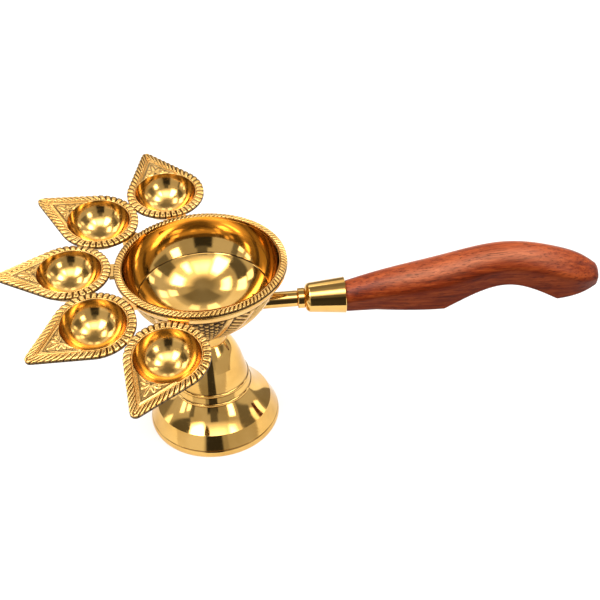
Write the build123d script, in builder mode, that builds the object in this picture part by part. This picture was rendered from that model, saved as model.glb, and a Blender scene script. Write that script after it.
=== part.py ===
from build123d import *
import os
from math import asin, cos, radians, sin, sqrt, tan

os.makedirs("parts", exist_ok=True)

# A five-leaf aarti lamp: a brass bowl on a bell-shaped stand, five pointed leaf dishes round one side of
# the bowl and a wooden grip on the other. Sizes are in millimetres and angles in degrees.
# The origin is on the floor under the middle of the stand. +Z is up, the grip points along +X and the
# middle leaf along -X.

# Fits
running_gap = 0.08  # radial play of a screw thread, drawn as a plain cylinder
joint_gap = 0.04  # joint line of a soldered, pressed or glued piece

# Bell stand, radius and height of each turned feature
foot_radius = 34.2
foot_sole_radius = 33.6
foot_lip_height = 4.2
foot_lip_radius = 33.5
step_radius = 30.0
step_height = 11.5
flare_radius = 24.4
flare_height = 16.9
band_low_radius = 20.2
band_low_height = 22.6
band_top_radius = 19.0
band_top_height = 29.4
bead_height = 1.7
bead_swell = 0.6
cone_radius = 16.2
cone_below_top = 12.9
shoulder_radius = 13.2
shoulder_below_top = 5.4
stand_top_radius = 9.9
stand_height = 53.4
stand_wall = 2.6
boss_depth = 13.0

# Neck collar and the stud through it
neck_radius = 9.6
neck_waist = 9.1
neck_height = 7.6
stud_radius = 4.76
stud_pitch = 1.5875
stud_turns = 4
stud_seat_depth = 3.6

# Bowl
bowl_foot_radius = 10.2
bowl_height = 40.0
bowl_sag = 4.4
rim_radius = 42.5
rim_height = 3.6
rim_overhang = 1.9
rim_groove_height = 1.0
rim_edge_round = 0.7
rim_width = 4.0
bowl_floor_thickness = 6.5

# Leaf dishes: one shape, a round back that narrows along straight sides to a rounded tip
leaf_back_radius = 20.1
leaf_reach = 35.8
leaf_tip_radius = 2.8
leaf_thickness = 2.8
leaf_edge_round = 0.6
leaf_gap = 1.3
neighbour_gap = 0.7
cup_opening_radius = 16.0
cup_depth = 13.2
cup_wall = 1.6
cup_lip = 0.9
panel_border = 4.3
panel_depth = 0.5

# How each leaf was set by hand, from the far side round to the near side: the turn of its tip, the lift of
# its tip, its fall towards the next leaf and the height of its back edge above the rim
leaf_settings = {
    1: {"toe": 2.1, "lift": 5.8, "fall": 0.1, "rise": 0.3},
    2: {"toe": 7.4, "lift": 6.4, "fall": 3.1, "rise": 0.8},
    3: {"toe": 0.2, "lift": 0.5, "fall": 2.7, "rise": 0.6},
    4: {"toe": -5.0, "lift": -5.8, "fall": 7.6, "rise": -0.6},
    5: {"toe": -10.0, "lift": -10.6, "fall": 2.7, "rise": -2.1},
}
middle_leaf = 3

# Webs from bowl to leaf and brazed joints between leaves
web_width = 10.0
web_drop = 0.4
web_height = 2.1
braze_width = 4.2
braze_height = 1.9
braze_drop = 0.4

# Handle rod, collar, ferrule and insert
rod_above_bowl_foot = 12.5
rod_radius = 4.1
rod_reach = 46.6
spigot_radius = 3.175
spigot_pitch = 1.27
spigot_turns = 4
collar_radius = 5.2
collar_length = 3.6
collar_edge_round = 0.6
ferrule_length = 20.5
ferrule_front_radius = 7.6
ferrule_back_radius = 9.2
ferrule_shoulder_round = 3.2
ferrule_wall = 1.2
ferrule_front_wall = 4.0
insert_radius = 4.4
insert_length = 12.0

# Wooden grip: stations one length after another from the ferrule's mouth, each with its half width, its
# depth below the rod's axis, and the height of its side edge and of its rounded top above that axis
grip_end_radius = 7.5
grip_stations = {
    "throat": {"length": 18.0, "half": 9.0, "below": 7.8, "side": 3.4, "top": 12.4, "corner": 4.5},
    "swell": {"length": 31.0, "half": 10.8, "below": 7.6, "side": 7.9, "top": 18.7, "corner": 1.6},
    "waist": {"length": 31.0, "half": 9.8, "below": 7.2, "side": 14.4, "top": 24.1, "corner": 1.6},
    "knob": {"length": 27.0, "half": 10.8, "below": 6.9, "side": 8.2, "top": 18.7, "corner": 1.6},
    "nose": {"length": 14.0, "half": 9.2, "below": 4.6, "side": 3.4, "top": 12.4, "corner": 1.6},
    "tip": {"length": 8.4, "half": 4.8, "below": 2.4, "side": 1.4, "top": 5.6, "corner": 1.6},
}
tip_round = 2.0
end_flat = 0.3
groove_rise = 3.8
groove_past_waist = 2.0
groove_past_knob = 1.5
groove_room = 12.0

# Heights and places that follow from the sizes above
bowl_base = stand_height + neck_height
rim_top = bowl_base + bowl_height
rim_under = rim_top - rim_height
bowl_depth = bowl_height - bowl_floor_thickness
bowl_floor = rim_top - bowl_depth
rod_height = bowl_base + rod_above_bowl_foot
bowl_opening_radius = rim_radius - rim_width
cone_height = stand_height - cone_below_top
shoulder_height = stand_height - shoulder_below_top
stud_travel = stud_pitch * stud_turns
spigot_travel = spigot_pitch * spigot_turns
collar_end = rod_reach + collar_length
socket_start = collar_end + ferrule_front_wall
grip_start = collar_end + ferrule_length
cup_sphere = (cup_opening_radius**2 + cup_depth**2) / (2 * cup_depth)
cup_centre_up = cup_sphere - cup_depth
rod_axis = Axis((0, 0, rod_height), (1, 0, 0))
# Profiles of the parts turned about the rod's axis: local x along the rod, local y out from it
rod_profile = Plane((0, 0, rod_height), x_dir=(1, 0, 0), z_dir=(0, -1, 0))


leaf_circle = rim_radius + leaf_gap + leaf_back_radius
# Turn from one leaf to the next, which leaves neighbour_gap between their round backs
leaf_step = 2 * asin((2 * leaf_back_radius + neighbour_gap) / (2 * leaf_circle))
# Slope of a leaf's straight sides, tangent to its round back and to its round tip
side_sine = (leaf_back_radius - leaf_tip_radius) / (leaf_reach - leaf_tip_radius)
side_cosine = sqrt(1 - side_sine**2)


def leaf_place(number):
    """Cup centre on a leaf's top face, the direction of its tip, its normal and its back edge."""
    setting = leaf_settings[number]
    bearing = radians(180) + (number - middle_leaf) * leaf_step
    outward = Vector(cos(bearing), sin(bearing), 0)
    onward = Vector(-sin(bearing), cos(bearing), 0)
    lift = tan(radians(setting["lift"]))
    fall = tan(radians(setting["fall"]))
    normal = (Vector(0, 0, 1) - outward * lift + onward * fall).normalized()
    slope = (outward - normal * outward.dot(normal)).normalized()
    back_edge = outward * (rim_radius + leaf_gap) + Vector(0, 0, rim_top + setting["rise"])
    heading = bearing + radians(setting["toe"])
    ahead = Vector(cos(heading), sin(heading), 0)
    pointing = (ahead - normal * ahead.dot(normal)).normalized()
    return back_edge + slope * leaf_back_radius, pointing, normal, back_edge


def leaf_height(number, place):
    """Height of a leaf's top face above a place in plan."""
    centre, _, normal, _ = leaf_place(number)
    away = place - centre
    return centre.Z - (away.X * normal.X + away.Y * normal.Y) / normal.Z


def leaf_outline():
    """Leaf in plan: its round back, straight sides and round tip."""
    tip_centre = leaf_reach - leaf_tip_radius
    back = (leaf_back_radius * side_sine, leaf_back_radius * side_cosine)
    tip = (tip_centre + leaf_tip_radius * side_sine, leaf_tip_radius * side_cosine)
    ThreePointArc(back, (-leaf_back_radius, 0), (back[0], -back[1]))
    Line((back[0], -back[1]), (tip[0], -tip[1]))
    ThreePointArc((tip[0], -tip[1]), (leaf_reach, 0), tip)
    Line(tip, back)


def panel_corners():
    """Corners of the sunk panel between cup and tip, panel_border inside the leaf's edge."""
    inner_radius = leaf_back_radius - panel_border
    across = inner_radius * side_cosine
    along = inner_radius * side_sine
    return [(inner_radius / side_sine, 0), (along, across), (along, -across)]


def outer_bowl_profile():
    """Half section of the bowl without its hollow, from the axis at the foot up to the rim."""
    under_rim = (rim_radius - rim_overhang, rim_under - rim_groove_height)
    Polyline((0, rim_top), (0, bowl_base), (bowl_foot_radius, bowl_base))
    SagittaArc((bowl_foot_radius, bowl_base), under_rim, -bowl_sag)
    Polyline(
        under_rim,
        (rim_radius - rim_overhang, rim_under),
        (rim_radius, rim_under),
        (rim_radius, rim_top),
        (0, rim_top),
    )


# Bell stand
with BuildPart() as bell_stand:
    with BuildSketch(Plane.XZ):
        with BuildLine():
            Polyline(
                (0, stand_height - boss_depth),
                (0, stand_height),
                (stand_top_radius, stand_height),
            )
            Spline(
                (stand_top_radius, stand_height),
                (shoulder_radius, shoulder_height),
                (cone_radius, cone_height),
            )
            Line((cone_radius, cone_height), (band_top_radius, band_top_height))
            ThreePointArc(
                (band_top_radius, band_top_height),
                (band_top_radius + bead_swell, band_top_height - bead_height / 2),
                (band_top_radius, band_top_height - bead_height),
            )
            Line(
                (band_top_radius, band_top_height - bead_height),
                (band_low_radius, band_low_height + bead_height),
            )
            ThreePointArc(
                (band_low_radius, band_low_height + bead_height),
                (band_low_radius + bead_swell, band_low_height + bead_height / 2),
                (band_low_radius, band_low_height),
            )
            Spline(
                (band_low_radius, band_low_height),
                (flare_radius, flare_height),
                (step_radius, step_height),
            )
            Line((step_radius, step_height), (foot_lip_radius, foot_lip_height))
            ThreePointArc(
                (foot_lip_radius, foot_lip_height),
                (foot_radius, foot_lip_height / 2),
                (foot_sole_radius, 0),
            )
            Polyline(
                (foot_sole_radius, 0),
                (foot_sole_radius - stand_wall, 0),
                (step_radius - stand_wall, step_height - stand_wall),
                (band_low_radius - stand_wall, band_low_height - stand_wall),
                (cone_radius - stand_wall, stand_height - boss_depth),
                (0, stand_height - boss_depth),
            )
        make_face()
    revolve(axis=Axis.Z)
    with Locations((0, 0, stand_height)):
        Hole(stud_radius + running_gap)
bell_stand.part.label = "bell_stand"
export_step(bell_stand.part, "parts/bell_stand.step")

# Neck collar between stand and bowl
with BuildPart() as neck_collar:
    with BuildSketch(Plane.XZ):
        with BuildLine():
            Polyline(
                (neck_radius, bowl_base),
                (stud_radius + running_gap, bowl_base),
                (stud_radius + running_gap, stand_height),
                (neck_radius, stand_height),
            )
            ThreePointArc(
                (neck_radius, stand_height),
                (neck_waist, stand_height + neck_height / 2),
                (neck_radius, bowl_base),
            )
        make_face()
    revolve(axis=Axis.Z)
neck_collar.part.label = "neck_collar"
export_step(neck_collar.part, "parts/neck_collar.step")

# Stud that holds the bowl to the stand: its thread ends where the last turn leaves the stand
with BuildPart() as foot_stud:
    with BuildSketch(Plane.XY.offset(stand_height - stud_travel)):
        Circle(stud_radius)
    extrude(amount=stud_travel + neck_height + stud_seat_depth)
foot_stud.part.label = "foot_stud"
export_step(foot_stud.part, "parts/foot_stud.step")

# Bowl without its hollow, which also shapes the rod's end
with BuildPart() as bowl_blank:
    with BuildSketch(Plane.XZ):
        with BuildLine():
            outer_bowl_profile()
        make_face()
    revolve(axis=Axis.Z)

# Bowl
with BuildPart() as bowl:
    add(bowl_blank.part)
    fillet(bowl.edges().group_by(Axis.Z)[-1], rim_edge_round)
    with BuildSketch(Plane.XZ):
        with BuildLine():
            EllipticalCenterArc(
                (0, rim_top), bowl_opening_radius, bowl_depth, start_angle=270, arc_size=90
            )
            Polyline((bowl_opening_radius, rim_top), (0, rim_top), (0, bowl_floor))
        make_face()
    revolve(axis=Axis.Z, mode=Mode.SUBTRACT)
    with BuildSketch(Plane.XY.offset(bowl_base)):
        Circle(stud_radius + joint_gap)
    extrude(amount=stud_seat_depth, mode=Mode.SUBTRACT)
bowl.part.label = "bowl"
export_step(bowl.part, "parts/bowl.step")

# Leaf dishes
shell_sphere = cup_sphere + cup_wall
shell_top = -leaf_thickness / 2
shell_half = sqrt(shell_sphere**2 - (cup_centre_up - shell_top) ** 2)
shell_mid = shell_sphere * sin(radians(45))
cup_mid = cup_sphere * sin(radians(45))
for number in leaf_settings:
    centre, pointing, normal, _ = leaf_place(number)
    flat = Plane(centre, x_dir=pointing, z_dir=normal)
    upright = Plane(centre, x_dir=pointing, z_dir=pointing.cross(normal))
    cup_axis = Axis(centre, normal)
    with BuildPart() as leaf_lamp:
        with BuildSketch(flat):
            with BuildLine():
                leaf_outline()
            make_face()
        extrude(amount=-leaf_thickness)
        fillet(leaf_lamp.faces().sort_by(cup_axis)[-1].edges(), leaf_edge_round)
        with BuildSketch(upright):
            with BuildLine():
                ThreePointArc(
                    (0, cup_centre_up - shell_sphere),
                    (shell_mid, cup_centre_up - shell_mid),
                    (shell_half, shell_top),
                )
                Polyline((shell_half, shell_top), (0, shell_top), (0, cup_centre_up - shell_sphere))
            make_face()
        revolve(axis=cup_axis)
        with BuildSketch(flat):
            Polygon(*panel_corners(), align=None)
            Circle(cup_opening_radius + cup_lip, mode=Mode.SUBTRACT)
        extrude(amount=-panel_depth, mode=Mode.SUBTRACT)
        with BuildSketch(upright):
            with BuildLine():
                ThreePointArc(
                    (0, -cup_depth),
                    (cup_mid, cup_centre_up - cup_mid),
                    (cup_opening_radius, 0),
                )
                Polyline((cup_opening_radius, 0), (0, 0), (0, -cup_depth))
            make_face()
        revolve(axis=cup_axis, mode=Mode.SUBTRACT)
    leaf_lamp.part.label = f"leaf_lamp_{number}"
    export_step(leaf_lamp.part, f"parts/leaf_lamp_{number}.step")

# Webs that join each leaf's back edge to the rim
for number in leaf_settings:
    centre, pointing, normal, back_edge = leaf_place(number)
    outward = Vector(back_edge.X, back_edge.Y, 0).normalized()
    web_top = min(back_edge.Z, rim_top - rim_edge_round) - web_drop
    with BuildPart() as leaf_web:
        with BuildSketch(Plane((0, 0, web_top), x_dir=outward, z_dir=(0, 0, 1))):
            with Locations((rim_radius + leaf_gap / 2, 0)):
                Rectangle(leaf_gap + web_width / 2, web_width)
            Circle(rim_radius, mode=Mode.SUBTRACT)
        extrude(amount=-web_height)
        with BuildSketch(Plane(centre, x_dir=pointing, z_dir=normal)):
            Circle(leaf_back_radius)
        extrude(amount=web_width, both=True, mode=Mode.SUBTRACT)
    leaf_web.part.label = f"leaf_web_{number}"
    export_step(leaf_web.part, f"parts/leaf_web_{number}.step")

# Brazed joints where the round backs of neighbouring leaves meet
for number in range(1, len(leaf_settings)):
    one, _, one_normal, _ = leaf_place(number)
    other, _, other_normal, _ = leaf_place(number + 1)
    between = (one + other) / 2
    across = Vector(other.X - one.X, other.Y - one.Y, 0).normalized()
    braze_top = min(leaf_height(number, between), leaf_height(number + 1, between)) - braze_drop
    with BuildPart() as braze_bead:
        with BuildSketch(Plane((between.X, between.Y, braze_top), x_dir=across, z_dir=(0, 0, 1))):
            Rectangle(neighbour_gap + braze_width / 2, braze_width)
        extrude(amount=-braze_height)
        with BuildSketch(Plane(one, z_dir=one_normal), Plane(other, z_dir=other_normal)):
            Circle(leaf_back_radius)
        extrude(amount=web_width, both=True, mode=Mode.SUBTRACT)
    braze_bead.part.label = f"braze_bead_{number}"
    export_step(braze_bead.part, f"parts/braze_bead_{number}.step")

# Handle rod: brazed to the bowl's side, with a thinner threaded end
with BuildPart() as handle_rod:
    with BuildSketch(rod_profile):
        with BuildLine():
            Polyline(
                (0, 0),
                (0, rod_radius),
                (rod_reach, rod_radius),
                (rod_reach, spigot_radius),
                (socket_start + spigot_travel, spigot_radius),
                (socket_start + spigot_travel, 0),
                close=True,
            )
        make_face()
    revolve(axis=rod_axis)
    add(bowl_blank.part, mode=Mode.SUBTRACT)
handle_rod.part.label = "handle_rod"
export_step(handle_rod.part, "parts/handle_rod.step")

# Collar between rod and ferrule
with BuildPart() as handle_collar:
    with BuildSketch(Plane.YZ.offset(rod_reach)):
        with Locations((0, rod_height)):
            Circle(collar_radius)
            Circle(spigot_radius + running_gap, mode=Mode.SUBTRACT)
    extrude(amount=collar_length)
    fillet(handle_collar.edges().group_by(Axis.X)[0].sort_by(SortBy.RADIUS)[-1], collar_edge_round)
handle_collar.part.label = "handle_collar"
export_step(handle_collar.part, "parts/handle_collar.step")

# Ferrule: a tapered brass cup with a rounded shoulder
shoulder_bend = ferrule_shoulder_round * (1 - sin(radians(45)))
with BuildPart() as ferrule:
    with BuildSketch(rod_profile):
        with BuildLine():
            Line(
                (collar_end, spigot_radius + running_gap),
                (collar_end, ferrule_front_radius - ferrule_shoulder_round),
            )
            ThreePointArc(
                (collar_end, ferrule_front_radius - ferrule_shoulder_round),
                (collar_end + shoulder_bend, ferrule_front_radius - shoulder_bend),
                (collar_end + ferrule_shoulder_round, ferrule_front_radius),
            )
            Polyline(
                (collar_end + ferrule_shoulder_round, ferrule_front_radius),
                (grip_start, ferrule_back_radius),
                (grip_start, ferrule_back_radius - ferrule_wall),
                (socket_start, ferrule_front_radius - ferrule_wall),
                (socket_start, spigot_radius + running_gap),
                (collar_end, spigot_radius + running_gap),
            )
        make_face()
    revolve(axis=rod_axis)
ferrule.part.label = "ferrule"
export_step(ferrule.part, "parts/ferrule.step")

# Threaded insert in the front end of the wood
with BuildPart() as grip_insert:
    with BuildSketch(Plane.YZ.offset(socket_start)):
        with Locations((0, rod_height)):
            Circle(insert_radius)
            Circle(spigot_radius + running_gap, mode=Mode.SUBTRACT)
    extrude(amount=insert_length)
grip_insert.part.label = "grip_insert"
export_step(grip_insert.part, "parts/grip_insert.step")


def grip_section(along, half, below, side, top, corner):
    """Cross section of the grip: flat underside, upright sides and a round top."""
    bend = corner * (1 - sin(radians(45)))
    section_plane = Plane((grip_start + along, 0, rod_height), x_dir=(0, 1, 0), z_dir=(1, 0, 0))
    with BuildSketch(section_plane) as section:
        with BuildLine():
            Line((corner - half, -below), (half - corner, -below))
            ThreePointArc((half - corner, -below), (half - bend, bend - below), (half, corner - below))
            Line((half, corner - below), (half, side))
            ThreePointArc((half, side), (0, top), (-half, side))
            Line((-half, side), (-half, corner - below))
            ThreePointArc((-half, corner - below), (bend - half, bend - below), (corner - half, -below))
        make_face()
    return section.sketch


# Wooden grip: a round front end behind the ferrule, then the stations in order
sections = [
    grip_section(
        along=0,
        half=grip_end_radius,
        below=grip_end_radius,
        side=end_flat,
        top=grip_end_radius,
        corner=grip_end_radius - end_flat,
    )
]
station_along = {}
reached = 0
for name, size in grip_stations.items():
    reached += size["length"]
    station_along[name] = reached
    shape = {key: value for key, value in size.items() if key != "length"}
    sections.append(grip_section(along=reached, **shape))
groove_start = grip_start + station_along["swell"]
groove_peak = grip_start + station_along["waist"] + groove_past_waist
groove_end = grip_start + station_along["knob"] + groove_past_knob
groove_low = rod_height - max(size["below"] for size in grip_stations.values())
grip_half = max(size["half"] for size in grip_stations.values())
with BuildPart() as wooden_grip:
    loft(sections=sections)
    fillet(wooden_grip.faces().sort_by(Axis.X)[-1].edges(), tip_round)
    with BuildSketch(Plane.XZ):
        with BuildLine():
            Spline(
                (groove_start, groove_low),
                (groove_peak, rod_height + groove_rise),
                (groove_end, groove_low),
            )
            Polyline(
                (groove_end, groove_low),
                (groove_end, groove_low - groove_room),
                (groove_start, groove_low - groove_room),
                (groove_start, groove_low),
            )
        make_face()
    extrude(amount=2 * grip_half, both=True, mode=Mode.SUBTRACT)
    with BuildSketch(rod_profile):
        with BuildLine():
            Polyline(
                (socket_start + joint_gap, 0),
                (socket_start + joint_gap, ferrule_front_radius - ferrule_wall - joint_gap),
                (grip_start, ferrule_back_radius - ferrule_wall - joint_gap),
                (grip_start, 0),
                close=True,
            )
        make_face()
    revolve(axis=rod_axis)
    with BuildSketch(Plane.YZ.offset(socket_start)):
        with Locations((0, rod_height)):
            Circle(insert_radius + joint_gap)
    extrude(amount=insert_length + joint_gap, mode=Mode.SUBTRACT)
wooden_grip.part.label = "wooden_grip"
export_step(wooden_grip.part, "parts/wooden_grip.step")
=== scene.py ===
"""Looks of a five-leaf brass aarti lamp: carved leaf dishes, a lathe-turned stand and a rosewood grip."""
import logging
from dataclasses import dataclass
from enum import Enum
from math import acos, asin, cos, pi, radians, sin, tan, tau
from typing import Any, Callable

import bpy
import numpy as np
from mathutils import Matrix, Vector


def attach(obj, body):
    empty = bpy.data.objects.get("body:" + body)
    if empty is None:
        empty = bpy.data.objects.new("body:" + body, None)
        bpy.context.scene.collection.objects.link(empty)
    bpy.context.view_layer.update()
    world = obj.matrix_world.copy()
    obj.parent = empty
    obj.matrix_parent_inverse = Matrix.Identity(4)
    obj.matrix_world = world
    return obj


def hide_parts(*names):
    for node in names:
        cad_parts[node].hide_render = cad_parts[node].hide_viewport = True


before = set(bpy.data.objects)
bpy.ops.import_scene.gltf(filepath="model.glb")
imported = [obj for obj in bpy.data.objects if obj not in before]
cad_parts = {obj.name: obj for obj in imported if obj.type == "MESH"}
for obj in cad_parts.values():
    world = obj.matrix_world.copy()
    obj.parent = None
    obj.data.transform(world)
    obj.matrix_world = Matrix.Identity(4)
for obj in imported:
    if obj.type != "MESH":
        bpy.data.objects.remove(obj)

MM = 0.001
PHOTO_PIXELS = 600
SENSOR_MM = 36.0
NEAR_AXIS = 0.01  # radius in millimetres of a ring that closes a turned skin
NEAR_POLE = 0.0005  # angle in radians of a ring that closes a cup
BEAD_ROUND = 0.6  # power that gives a bead its full round back
COLOUR_A, COLOUR_B, COLOUR_OUT = 6, 7, 2  # sockets that mix two colours
FACTOR, NUMBER_A, NUMBER_B, NUMBER_OUT = 0, 2, 3, 0  # sockets that mix two numbers
LOG = logging.getLogger("aarti_lamp")

Pair = tuple[float, float]


class Body(str, Enum):
    """Rigid bodies of the lamp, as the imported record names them."""

    STAND = "stand"
    NECK = "neck"
    HEAD = "lamp_head"
    COLLAR = "collar"
    GRIP = "grip"


class Slot(str, Enum):
    """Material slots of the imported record."""

    POLISHED = "polished_brass"
    CAST = "cast_brass"
    WOOD = "rosewood"


class Layer(str, Enum):
    """Layers of numbers on a mesh's points that the finishes read."""

    SHADE = "shade"
    PAINTED_SHEEN = "painted_sheen"


def linear(hex_colour: str) -> tuple[float, float, float, float]:
    """Turn an sRGB hex colour into linear light.

    Args:
        hex_colour: A colour such as "#F2C572".

    Returns:
        Linear red, green, blue and an alpha of 1.
    """
    parts = [int(hex_colour[i:i + 2], 16) / 255 for i in (1, 3, 5)]
    bent = [p / 12.92 if p <= 0.04045 else ((p + 0.055) / 1.055) ** 2.4 for p in parts]
    return (bent[0], bent[1], bent[2], 1.0)


def add_node(tree: bpy.types.NodeTree, kind: str, links: dict[Any, Any] | None = None,
             stops: tuple[tuple[float, str], ...] = (), **settings: Any) -> bpy.types.Node:
    """Add a node with its settings and links.

    Args:
        tree: Node tree that gets the node.
        kind: Kind of node, without its "ShaderNode" prefix.
        links: Input socket, by name or number, to an output socket or a constant.
        stops: Places and hex colours along the node's colour ramp, if it has one.
        settings: Attributes of the node.

    Returns:
        The new node.
    """
    node = tree.nodes.new("ShaderNode" + kind)
    for name, value in settings.items():
        setattr(node, name, value)
    for socket, value in (links or {}).items():
        if isinstance(value, bpy.types.NodeSocket):
            tree.links.new(value, node.inputs[socket])
        else:
            node.inputs[socket].default_value = value
    if stops:
        elements = node.color_ramp.elements
        while len(elements) < len(stops):
            elements.new(0.5)
        for element, (place, colour) in zip(elements, stops):
            element.position = place
            element.color = linear(colour)
    return node


def fresh_material(name: str) -> tuple[bpy.types.Material, bpy.types.NodeTree]:
    """Make a material with an empty node tree.

    Args:
        name: Name of the material.

    Returns:
        The material and its node tree.
    """
    material = bpy.data.materials.new(name)
    material.use_nodes = True
    material.node_tree.nodes.clear()
    return material, material.node_tree


# Buffing leaves a mirror, so the eye gets sharp warm reflections, broken by wheel marks and soft tarnish.
@dataclass(frozen=True)
class BuffedBrass:
    """Turned brass, buffed on a wheel."""

    name: str = "buffed_turned_brass"
    bright: str = "#E8BA6C"
    tarnish: str = "#D6A556"
    # Also the colour of the painted shade below the lips of the bowl and the cups.
    oxide: str = "#3A1F08"
    roughness: float = 0.075
    cloud_mm: float = 16.0
    mark_mm: float = 0.9  # wheel marks, drawn coarser than the real ones, so that they show
    mark_depth_mm: float = 0.1
    mark_bump: float = 0.035
    mark_stretch: float = 0.25

    def build(self) -> bpy.types.Material:
        """Make the material.

        Returns:
            The material.
        """
        material, tree = fresh_material(self.name)
        place = add_node(tree, "TexCoord").outputs["Object"]
        cloud = add_node(tree, "TexNoise", {
            "Vector": place, "Scale": 1 / (self.cloud_mm * MM), "Detail": 3.0})
        colour = add_node(tree, "ValToRGB", {"Fac": cloud.outputs["Fac"]},
                          stops=((0.38, self.bright), (0.72, self.tarnish)))
        round_axis = add_node(tree, "Mapping", {
            "Vector": place, "Scale": (self.mark_stretch, self.mark_stretch, 1.0)})
        marks = add_node(tree, "TexNoise", {
            "Vector": round_axis.outputs["Vector"], "Scale": 1 / (self.mark_mm * MM), "Detail": 2.0})
        rough = add_node(tree, "MapRange", {
            "Value": marks.outputs["Fac"], "From Min": 0.3, "From Max": 0.75,
            "To Min": self.roughness * 0.6, "To Max": self.roughness * 1.6})
        bump = add_node(tree, "Bump", {
            "Height": marks.outputs["Fac"], "Strength": self.mark_bump, "Distance": self.mark_depth_mm * MM})
        # The shade layer holds oxide in turned lines and the ring line, and painted shade below the lips of
        # the bowl and cups.
        shade = add_node(tree, "Attribute", attribute_name=Layer.SHADE.value)
        mix = add_node(tree, "Mix", {
            "Factor": shade.outputs["Fac"], COLOUR_A: colour.outputs["Color"],
            COLOUR_B: linear(self.oxide)}, data_type="RGBA")
        shader = add_node(tree, "BsdfPrincipled", {
            "Metallic": 1.0, "Base Color": mix.outputs[COLOUR_OUT], "Roughness": rough.outputs["Result"],
            "Normal": bump.outputs["Normal"]})
        add_node(tree, "OutputMaterial", {"Surface": shader.outputs["BSDF"]})
        return material


# Chased cuts hold dark oxide while hands rub the raised work bright, so the eye reads the pattern at once.
@dataclass(frozen=True)
class ChasedBrass:
    """Cast brass with chased ornament."""

    name: str = "cast_chased_brass"
    bright: str = "#F6C87C"
    worn: str = "#E2AE5C"
    # Also the colour of the painted shadow under the bowl's rim and the painted shade on the leaves' side
    # faces.
    oxide: str = "#2E1707"
    roughness: float = 0.22
    oxide_roughness: float = 0.55
    cloud_mm: float = 9.0
    grit_mm: float = 0.7  # casting grit, drawn coarse enough to show
    grit_depth_mm: float = 0.12
    grit_bump: float = 0.10

    def build(self) -> bpy.types.Material:
        """Make the material.

        Returns:
            The material.
        """
        material, tree = fresh_material(self.name)
        place = add_node(tree, "TexCoord").outputs["Object"]
        cloud = add_node(tree, "TexNoise", {
            "Vector": place, "Scale": 1 / (self.cloud_mm * MM), "Detail": 4.0})
        colour = add_node(tree, "ValToRGB", {"Fac": cloud.outputs["Fac"]},
                          stops=((0.35, self.bright), (0.75, self.worn)))
        grit = add_node(tree, "TexNoise", {"Vector": place, "Scale": 1 / (self.grit_mm * MM), "Detail": 3.0})
        # The shade layer holds oxide in the cuts, and painted shadow under the rim and painted shade on the
        # leaves' side faces.
        shade = add_node(tree, "Attribute", attribute_name=Layer.SHADE.value)
        broken = add_node(tree, "MapRange", {
            "Value": grit.outputs["Fac"], "From Min": 0.25, "From Max": 0.75, "To Min": 0.75, "To Max": 1.2})
        amount = add_node(tree, "Math", {0: shade.outputs["Fac"], 1: broken.outputs["Result"]},
                          operation="MULTIPLY", use_clamp=True)
        mix = add_node(tree, "Mix", {
            "Factor": amount.outputs["Value"], COLOUR_A: colour.outputs["Color"],
            COLOUR_B: linear(self.oxide)}, data_type="RGBA")
        rough = add_node(tree, "MapRange", {
            "Value": amount.outputs["Value"], "To Min": self.roughness, "To Max": self.oxide_roughness})
        bump = add_node(tree, "Bump", {
            "Height": grit.outputs["Fac"], "Strength": self.grit_bump, "Distance": self.grit_depth_mm * MM})
        shader = add_node(tree, "BsdfPrincipled", {
            "Metallic": 1.0, "Base Color": mix.outputs[COLOUR_OUT], "Roughness": rough.outputs["Result"],
            "Normal": bump.outputs["Normal"]})
        add_node(tree, "OutputMaterial", {"Surface": shader.outputs["BSDF"]})
        return material
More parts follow.
